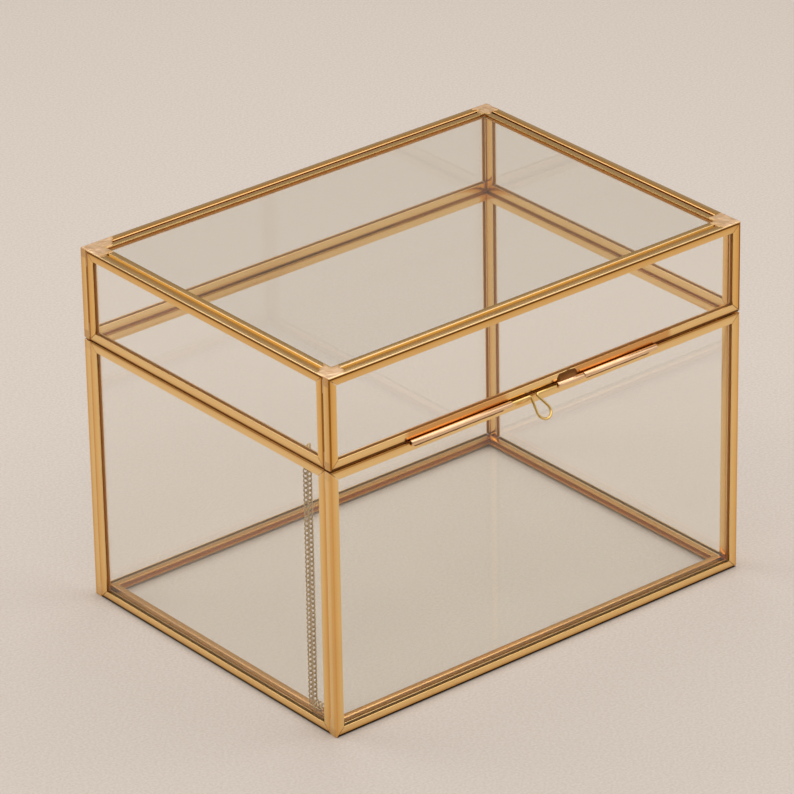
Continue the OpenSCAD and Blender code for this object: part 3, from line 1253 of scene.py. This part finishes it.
@dataclass
class SolderWeb:
    """The hollow fillet of solder between a tube and the flange beside it."""

    tube: Tube
    up: int  # 1 on the lid, -1 on the base
    reach: float  # how far it runs over the flange, from the seam's middle
    insets: tuple[float, float]  # how far its ends lie inside the tube's
    curl: float = 2.4
    fade: float = 2.0  # over this length its ends taper
    end_reach: float = 0.45
    end_stand: float = 0.3
    low: float = 0.68  # its edge on the tube, as a share of the radius; clear of the bore
    wave: float = 0.08
    wave_mm: float = 4.0
    skin: float = 0.03
    back: float = 0.2
    columns: int = 30
    rows: int = 10

    def build(self, name: str) -> Piece:
        """Model the web as a hollow sheet over the flange, closed at its back.

        Args:
            name: the piece's name.

        Returns:
            The web, in its place, in millimetres.
        """
        piece = sheet(name, self.columns, self.rows, self._spot)
        with editing(piece):
            bpy.ops.mesh.select_all(action="SELECT")
            thicken((1, 0, 1), (0, self.face - self.side * self.back, 0))
        return close_up(piece, 60)

    @property
    def side(self) -> int:
        """-1 on the front and 1 on the rear."""
        return -1 if self.tube.y < 0 else 1

    @property
    def face(self) -> float:
        """Y of the flange's face."""
        return S.y_front if self.side < 0 else S.y_rear

    def _spot(self, along: float, climb: float) -> Vector:
        """Place of a point of the sheet.

        Args:
            along: 0 at one end and 1 at the other.
            climb: 0 at the tube and 1 at the far edge on the flange.

        Returns:
            The point, in millimetres.
        """
        left = self.tube.start + self.insets[0]
        right = self.tube.start + self.tube.length - self.insets[1]
        x = left + (right - left) * along
        taper = max(0.0, 1 - min(x - left, right - x) / self.fade) ** 2
        wave = noise.noise(Vector((x / self.wave_mm, self.reach, self.side + self.up * 2.0)))
        low = self.low * self.tube.radius
        high = (self.reach - low) * (1 - (1 - self.end_reach) * taper) * (1 + self.wave * wave)
        deep = abs(self.tube.y - self.face) - self.skin
        deep *= (1 - climb) ** self.curl * (1 - (1 - self.end_stand) * taper)
        y = self.face + self.side * (self.skin + deep)
        return Vector((x, y, S.z_seam + self.up * (low + high * climb)))


@dataclass
class Latch:
    """The sliding latch: two tubes on the base's rim, a knuckle on the lid's, and the bent wire."""

    tube_r: float = 1.5
    bore: float = 0.8
    wire_r: float = 0.7
    left_start: float = -84.5
    left_len: float = 64.0
    knuckle_start: float = 9.5
    knuckle_len: float = 16.8
    right_start: float = 26.7
    right_len: float = 48.0
    web_insets: tuple[float, float] = (2.0, 2.0)
    web_reach: float = 3.5
    web_curl: float = 1.3
    knuckle_web_insets: tuple[float, float] = (1.2, 2.6)
    knuckle_web_reach: float = 5.0
    loop_x: float = -8.9
    tail: float = 59.0
    tip: float = 9.1
    loop_r: float = 4.1
    loop_mid: tuple[float, float] = (4.4, -9.2)
    neck: float = 5.9
    bend_r: float = 1.0
    tilt: float = 40.0
    tip_arris: float = 0.18

    def build(self) -> None:
        """Build the latch."""
        y = S.y_front - S.tube_fit - self.tube_r
        left = Tube(self.left_start, self.left_len, self.tube_r, self.bore, y)
        right = Tube(self.right_start, self.right_len, self.tube_r, self.bore, y)
        knuckle = Tube(self.knuckle_start, self.knuckle_len, self.tube_r, self.bore, y)
        web = (-1, self.web_reach, self.web_insets, self.web_curl)
        for body, name, piece, tube, solder in (
            ("base", "latch_tube_left", "latch_tube_piece_left", left, SolderWeb(left, *web)),
            ("base", "latch_tube_right", "latch_tube_piece_right", right, SolderWeb(right, *web)),
            ("lid", "latch_knuckle", "latch_knuckle_piece", knuckle,
             SolderWeb(knuckle, 1, self.knuckle_web_reach, self.knuckle_web_insets)),
        ):
            lay(tube.build(piece), body, Finish.TUBE, [name])
            # the latch's webs take the solder painted dark, as painted shade by the tubes
            lay(solder.build(f"solder_{name}"), body, Finish.SHADED_SOLDER, [])
        lay(self._wire(y), "latch_wire", Finish.WIRE, ["latch_pin"])

    def _wire(self, y: float) -> Piece:
        """Bend the wire: straight in its tube, down into the pull loop, and straight to its tip.

        Args:
            y: Y of the tubes' axis, in millimetres.

        Returns:
            The wire, in its place, in millimetres.
        """
        mid = Vector((*self.loop_mid, 0))
        first, last = Vector((0, -self.bend_r, 0)), Vector((self.neck, -self.bend_r, 0))
        cross = self.loop_r + self.bend_r
        to_mid, from_mid = mid - first, last - mid
        down = math.atan2(to_mid.y, to_mid.x) - math.asin(cross / to_mid.length)
        back = math.atan2(from_mid.y, from_mid.x) + math.asin(cross / from_mid.length)
        wire = start(
            "latch_wire_piece", bpy.ops.mesh.primitive_circle_add, vertices=16,
            radius=self.wire_r, location=(-self.tail, 0, 0), rotation=(0, math.pi / 2, 0),
        )
        with editing(wire):
            bpy.ops.mesh.select_all(action="SELECT")
            self._draw(0, self.tail)
            self._bend(first, down, 8)
            self._draw(down, math.sqrt(to_mid.length_squared - cross**2))
            self._bend(mid, back - down, 28)
            self._draw(back, math.sqrt(from_mid.length_squared - cross**2))
            self._bend(last, -back, 8)
            self._draw(0, self.tip - self.loop_x - self.neck)
            pick(wire, Pick.EDGES, lambda e: e.is_boundary)
            bpy.ops.mesh.fill_holes(sides=0)
            pick(wire, Pick.EDGES, lambda e: len(e.link_faces) == 2
                 and max(len(f.verts) for f in e.link_faces) > 4)
            bpy.ops.mesh.bevel(offset=self.tip_arris, segments=2)
        tilt = Matrix.Rotation(math.radians(90 - self.tilt), 4, "X")
        wire.data.transform(Matrix.Translation((self.loop_x, y, S.z_seam)) @ tilt)
        return close_up(wire, 60)

    @staticmethod
    def _draw(heading: float, length: float) -> None:
        """Carry the selected ring straight on, by a heading in radians and a length."""
        step = (math.cos(heading) * length, math.sin(heading) * length, 0)
        bpy.ops.mesh.extrude_region_move(TRANSFORM_OT_translate={"value": step})

    @staticmethod
    def _bend(centre: Vector, turn: float, steps: int) -> None:
        """Carry the selected ring round a centre, by a turn in radians (spin turns the other way)."""
        bpy.ops.mesh.spin(steps=steps, angle=-turn, center=centre, axis=(0, 0, 1), dupli=False)


@dataclass
class Hinge:
    """The hinge: two knuckles on the base, one on the lid, and the wire through them."""

    tube_r: float = 1.6
    bore: float = 0.83
    pin_r: float = 0.75
    base_len: float = 46.0
    lid_len: float = 47.0
    gap: float = 0.4
    pin_out: float = 0.8
    pin_arris: float = 0.3
    web_insets: tuple[float, float] = (1.5, 1.5)
    web_reach: float = 3.4
    web_curl: float = 1.6

    def build(self) -> None:
        """Build the hinge."""
        y = S.y_rear + S.tube_fit + self.tube_r
        half, inner = self.lid_len / 2, self.lid_len / 2 + self.gap
        base = [
            Tube(x, self.base_len, self.tube_r, self.bore, y)
            for x in (-inner - self.base_len, inner)
        ]
        lid = Tube(-half, self.lid_len, self.tube_r, self.bore, y)
        tubes = join([tube.build("knuckle") for tube in base], "hinge_base_tubes")
        lay(tubes, "base", Finish.TUBE, ["hinge_base_knuckles"])
        webs = [SolderWeb(tube, -1, self.web_reach, self.web_insets, self.web_curl) for tube in base]
        solder = join([web.build("web") for web in webs], "solder_hinge_base")
        lay(solder, "base", Finish.SOLDER, [])
        lay(lid.build("hinge_lid_tube"), "lid", Finish.TUBE, ["hinge_lid_knuckle"])
        web = SolderWeb(lid, 1, self.web_reach, self.web_insets, self.web_curl)
        lay(web.build("solder_hinge_lid"), "lid", Finish.SOLDER, [])
        pin = self._pin(y, inner + self.base_len + self.pin_out)
        lay(pin, "base", Finish.WIRE, ["hinge_pin"])

    def _pin(self, y: float, half: float) -> Piece:
        """The hinge wire, with filed ends.

        Args:
            y: Y of the hinge's axis, in millimetres.
            half: half the wire's length, in millimetres.

        Returns:
            The wire, in its place.
        """
        pin = rod("hinge_wire", self.pin_r, -half, half, y, S.z_seam, 20)
        with editing(pin):
            pick(pin, Pick.EDGES, lambda e: not runs_along_x(e))
            bpy.ops.mesh.bevel(offset=self.pin_arris, segments=3)
        return close_up(pin, 50)


@dataclass
class StayChain:
    """The fine curb chain that stops the lid: two hanging strands, a tail of links at the foot of
    each, and the two eyes that it hangs from."""

    pitch: float = 2.6
    half_w: float = 0.94
    wire_r: float = 0.4
    eye_r: float = 0.95
    y: float = -69.2255
    wall: float = -128.4
    turn: float = -36.0  # how the links face, in degrees, and how far that sways down a strand
    sway: float = 14.0
    tail_links: int = 3
    tail_turn: float = 35.0
    tail_twist: float = 20.0
    # X, upper and lower end, and the number of links
    strands: dict[str, tuple[float, float, float, int]] = field(
        default_factory=lambda: {
            "base": (-126.9, 142.85, 7.54, 52),
            "lid": (-124.4, 148.45, 7.94, 54),
        }
    )

    def build(self) -> None:
        """Build the strands, tails and eyes."""
        link = self._link()
        lie = Matrix.Rotation(math.radians(90), 4, "X")
        for name, (x, top, foot, count) in self.strands.items():
            spots = [
                Matrix.Translation((x, self.y, top - self.pitch * (i + 0.5)))
                @ self._turned(self.turn + self.sway * math.sin(i / 9 + x))
                for i in range(count)
            ]
            self._run(link, spots, f"chain_{name}_links", f"{name}_strand", f"chain_{name}_strand")
            spots = [
                Matrix.Translation((x, self.y - self.pitch * (i + 0.5), foot))
                @ lie @ self._turned(self.tail_turn + self.tail_twist * i)
                for i in range(self.tail_links)
            ]
            self._run(link, spots, f"chain_{name}_foot", f"{name}_tail", f"chain_{name}_tail")
            eye = self._eye(f"chain_eye_piece_{name}", x, top + self.eye_r)
            lay(eye, name, Finish.WIRE, [f"chain_{name}_eye"])
        bpy.data.objects.remove(link)

    @staticmethod
    def _turned(angle: float) -> Matrix:
        """A turn about the link's length, in degrees."""
        return Matrix.Rotation(math.radians(angle), 4, "Z")

    def _link(self) -> Piece:
        """One curb link: an oval ring with a half twist in each side, upright along Z.

        Returns:
            The pattern link.
        """
        link = start(
            "link", bpy.ops.mesh.primitive_torus_add, major_radius=1, minor_radius=self.wire_r,
            major_segments=14, minor_segments=6, rotation=(math.pi / 2, 0, 0),
        )
        half_l = self.pitch / 2 + self.wire_r
        for point in link.data.vertices:
            around = math.atan2(point.co.z, point.co.x)
            ring = Vector((math.cos(around), 0, math.sin(around)))
            tube = point.co - ring
            ring = Vector((self.half_w * ring.x, 0, half_l * ring.z))
            tube.y += self.half_w / 2 * math.sin(2 * around)
            point.co = ring + tube
        return close_up(link, 80)

    @staticmethod
    def _run(link: Piece, spots: Sequence[Matrix], name: str, body: str, node: str) -> None:
        """Copy the link to each spot, and lay the run on its body in place of its node."""
        links = join([copy_of(link, spot) for spot in spots], name)
        lay(links, body, Finish.CHAIN, [node])

    def _eye(self, name: str, x: float, z: float) -> Piece:
        """An eye of wire and its stem, soldered to the wall.

        Args:
            name: the piece's name.
            x: X of the ring's middle, in millimetres.
            z: Z of the ring's middle, in millimetres.

        Returns:
            The eye, in its place.
        """
        ring = start(
            "ring", bpy.ops.mesh.primitive_torus_add, major_radius=self.eye_r,
            minor_radius=self.wire_r, major_segments=20, minor_segments=8,
            location=(x, self.y, z), rotation=(math.pi / 2, 0, 0),
        )
        stem = rod("stem", self.wire_r, self.wall, x - self.eye_r, self.y, z, 12)
        eye = join([ring, stem], name)
        smooth(eye, 60)
        return eye


# ---------------------------------------------------------------- the studio


@dataclass(frozen=True)
class Lamp:
    """A soft lamp: where it hangs, the point it faces and its window's size, all in metres."""

    name: str
    place: tuple[float, float, float]
    aim: tuple[float, float, float]
    size: tuple[float, float]
    watts: float
    colour: str = "#FCFCFC"

    def hang(self) -> None:
        """Hang the lamp."""
        light = bpy.data.lights.new(self.name, "AREA")
        light.shape = "RECTANGLE"
        light.size, light.size_y = self.size
        light.energy = self.watts
        light.color = srgb(self.colour)[:3]
        lamp = bpy.data.objects.new(self.name, light)
        lamp.location = self.place
        facing = Vector(self.aim) - Vector(self.place)
        lamp.rotation_euler = facing.to_track_quat("-Z", "Y").to_euler()
        bpy.context.scene.collection.objects.link(lamp)


@dataclass
class Studio:
    """A pale paper table, a soft lamp overhead and a small one behind, a window to the right, a dim
    room with a dark card before the table that shows in shiny edges only, and the photograph's
    viewpoint."""

    azimuth: float = -39.238
    elevation: float = 26.848
    roll: float = -1.012
    slide: float = -8.60
    lift: float = 6.46
    distance: float = 2822.2
    lens: float = 252.3
    aim_z: float = 98.5
    room: str = "#A89E90"
    card_size: float = 1.06
    card_place: tuple[float, float, float] = (-0.87, -0.78, 0.0006)
    lamps: tuple[Lamp, ...] = (
        Lamp("overhead_softbox", (0.1, 0.2, 1.5), (0.1, 0.2, 0), (2.25, 2.4), 24.0),
        Lamp("rear_softbox", (-0.86, 1.12, 1.1), (-0.13, 0, 0.2), (0.7, 0.7), 2.2),
        Lamp("right_window", (1.25, -1.45, 1.0), (0, 0, 0.15), (1.8, 1.6), 7.0),
    )

    def build(self) -> None:
        """Set up the table, the lamps, the room and the camera."""
        self._table()
        for lamp in self.lamps:
            lamp.hang()
        self._card()
        self._room()
        self._camera()

    @staticmethod
    def _table() -> None:
        """Lay the paper that the casket stands on."""
        table = start(
            "table", bpy.ops.mesh.primitive_grid_add, x_subdivisions=8, y_subdivisions=8, size=8
        )
        Finish.PAPER.on(table)

    def _card(self) -> None:
        """Lay the dark card, which the camera doesn't see and which casts no shade."""
        card = start(
            "dark_card", bpy.ops.mesh.primitive_plane_add,
            size=self.card_size, location=self.card_place,
        )
        card.visible_camera = card.visible_diffuse = card.visible_shadow = False
        card.visible_transmission = card.visible_volume_scatter = False
        Finish.CARD.on(card)

    def _room(self) -> None:
        """Set the dim light of the room and plain colours."""
        scene = bpy.context.scene
        scene.view_settings.view_transform = "Standard"
        world = bpy.data.worlds.new("room")
        scene.world = world
        world.use_nodes = True
        world.node_tree.nodes.clear()
        light = add_node(world.node_tree, "Background", {"Color": srgb(self.room), "Strength": 1.0})
        add_node(world.node_tree, "OutputWorld", {"Surface": light})

    def _camera(self) -> None:
        """Set the camera at the photograph's viewpoint, which was fitted to the casket's corners."""
        a, e, r = (math.radians(v) for v in (self.azimuth, self.elevation, self.roll))
        right = Vector((math.cos(a), math.sin(a), 0))
        back = Vector((math.sin(a) * math.cos(e), -math.cos(a) * math.cos(e), math.sin(e)))
        up = back.cross(right)
        aim = Vector((0, S.casket_y, self.aim_z)) + self.slide * right + self.lift * up
        spot = (aim + self.distance * back) * MM
        side = math.cos(r) * right + math.sin(r) * up
        crown = math.cos(r) * up - math.sin(r) * right
        data = bpy.data.cameras.new("camera")
        data.lens = self.lens
        data.sensor_width = 36
        data.clip_end = 50
        camera = bpy.data.objects.new("camera", data)
        facing = Matrix((side, crown, back)).transposed().to_4x4()
        camera.matrix_world = Matrix.Translation(spot) @ facing
        bpy.context.scene.collection.objects.link(camera)
        bpy.context.scene.camera = camera


def main() -> None:
    """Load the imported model, build its pieces and set the scene."""
    logging.basicConfig(level=logging.INFO, format="%(name)s: %(message)s")
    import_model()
    for assembly in (Panels(), CornerSolder(), Latch(), Hinge(), StayChain(), Studio()):
        assembly.build()
        log.info("%s done", type(assembly).__name__)


if __name__ == "__main__":
    main()
